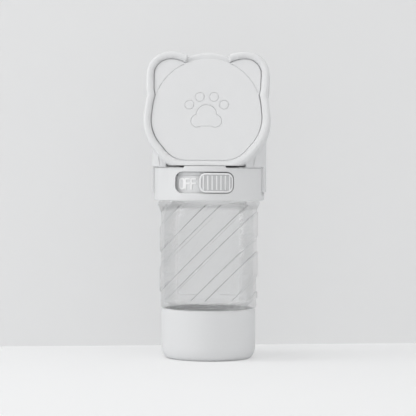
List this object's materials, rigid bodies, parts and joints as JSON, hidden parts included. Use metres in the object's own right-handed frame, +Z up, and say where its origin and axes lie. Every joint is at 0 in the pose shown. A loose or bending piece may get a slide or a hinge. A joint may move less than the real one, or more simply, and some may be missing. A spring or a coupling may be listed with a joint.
{
  "type": "dog travel water bottle",
  "caption": "Travel water bottle for dogs with a clear grip-strip body, a snack cup base, an on-off valve slider and a drinking trough with an animal-eared rim under a pull-off dust lid.",
  "frame": {"origin": "centre of the part's box at its base, where the bottle's axis meets the surface it stands on", "axes": "+Z up along the bottle's axis, the lid and the slider face -Y, +X to the right of someone facing the lid"},
  "size_m": [0.0846, 0.0771, 0.2076],
  "materials": {
    "white_plastic": "satin",
    "clear_plastic": "clear, polished",
    "silicone": "matt",
    "steel": "satin"
  },
  "bodies": {
    "base": {"base_cup": "white_plastic"},
    "bottle": {"bottle": "clear_plastic", "cup_seal": "silicone"},
    "collar": {"collar": "white_plastic", "valve_body": "white_plastic", "switch_plate": "white_plastic", "bottle_seal": "silicone", "lower_seal": "silicone", "upper_seal": "silicone", "top_plate": "white_plastic", "pivot_screw": "steel", "pivot_washer": "steel", "plate_screws": "steel"},
    "switch": {"valve_rotor": "white_plastic", "slider_button": "white_plastic"},
    "trough": {"trough_bowl": "white_plastic", "hood": "white_plastic", "inlet_seal": "silicone"},
    "lid": {"lid_panel": "white_plastic", "lid_gasket": "silicone"}
  },
  "joints": [
    {"name": "cup_pull", "type": "slide", "parent": "base", "child": "bottle", "axis": [0, 0, 1], "range_m": [0, 0.03]},
    {"name": "collar_lift", "type": "slide", "parent": "bottle", "child": "collar", "axis": [0, 0, 1], "range_m": [0, 0.03]},
    {"name": "switch_turn", "type": "hinge", "parent": "collar", "child": "switch", "pos_m": [0, 0, 0.1237], "axis": [0, 0, 1], "range_deg": [-26.4, 0]},
    {"name": "trough_lift", "type": "slide", "parent": "collar", "child": "trough", "axis": [0, 0, 1], "range_m": [0, 0.035]},
    {"name": "lid_pull", "type": "slide", "parent": "trough", "child": "lid", "axis": [0, -0.9703, 0.2419], "range_m": [0, 0.03]}
  ]
}
